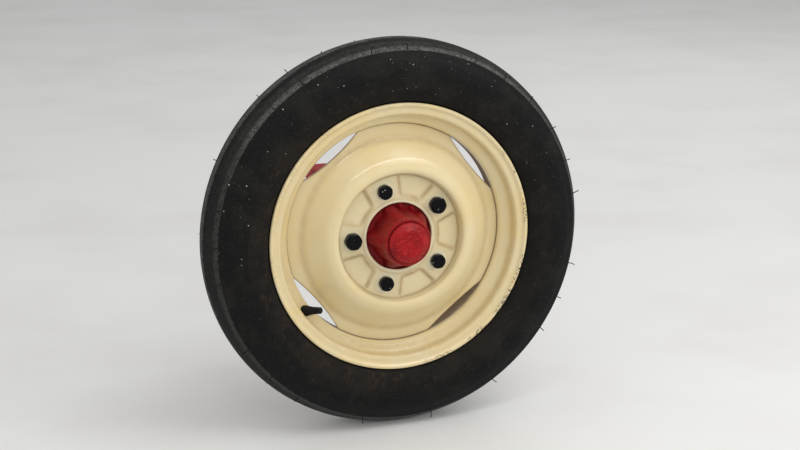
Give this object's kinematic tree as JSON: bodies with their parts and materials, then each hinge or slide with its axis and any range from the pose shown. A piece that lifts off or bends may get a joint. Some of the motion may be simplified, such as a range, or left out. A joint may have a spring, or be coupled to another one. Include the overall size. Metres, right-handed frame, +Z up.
{
  "type": "tractor front wheel on its stub axle and axle end",
  "caption": "Farm tractor front wheel with ribbed tyre, cream steel disc wheel and red hub, carried by a swivelling stub axle on the end of the front axle arm.",
  "frame": {"origin": "middle of the two bolt holes through the axle arm, where the arm bolts to the middle of the front axle", "axes": "+X is forward and runs along the bolt holes, +Y points inboard along the axle arm, away from the wheel, +Z is up"},
  "size_m": [0.6394, 0.5115, 0.6394],
  "materials": {
    "tyre_rubber": "satin",
    "valve_rubber": "satin",
    "cream_enamel": "gloss",
    "red_enamel": "gloss",
    "black_steel": "semi-gloss",
    "zinc_steel": "satin",
    "ground_steel": "satin",
    "bronze": "satin"
  },
  "bodies": {
    "axle_end": {"axle_arm": "red_enamel", "kingpin": "ground_steel", "cotter_bolt": "zinc_steel", "cotter_nut": "zinc_steel", "thrust_washer": "ground_steel"},
    "knuckle": {"stub_axle": "red_enamel", "upper_bush": "bronze", "lower_bush": "bronze", "upper_pin_cap": "red_enamel", "lower_pin_cap": "red_enamel", "upper_nipple": "zinc_steel", "lower_nipple": "zinc_steel", "steering_arm": "red_enamel", "arm_bolt_1": "black_steel", "arm_bolt_2": "black_steel"},
    "wheel": {"tyre": "tyre_rubber", "rim": "cream_enamel", "disc": "cream_enamel", "valve_stem": "valve_rubber", "valve_cap": "valve_rubber", "hub": "red_enamel", "hub_cap": "red_enamel", "dust_ring": "zinc_steel", "hub_fitting_1": "zinc_steel", "hub_fitting_2": "zinc_steel", "wheel_bolt_1": "black_steel", "wheel_bolt_2": "black_steel", "wheel_bolt_3": "black_steel", "wheel_bolt_4": "black_steel", "wheel_bolt_5": "black_steel"}
  },
  "joints": [
    {"name": "steer", "type": "hinge", "parent": "axle_end", "child": "knuckle", "pos_m": [0, -0.235, 0], "axis": [0, 0, 1], "range_deg": [-40, 40]},
    {"name": "wheel_spin", "type": "hinge", "parent": "knuckle", "child": "wheel", "pos_m": [0, -0.323, 0], "axis": [0, -1, 0], "continuous": true}
  ]
}
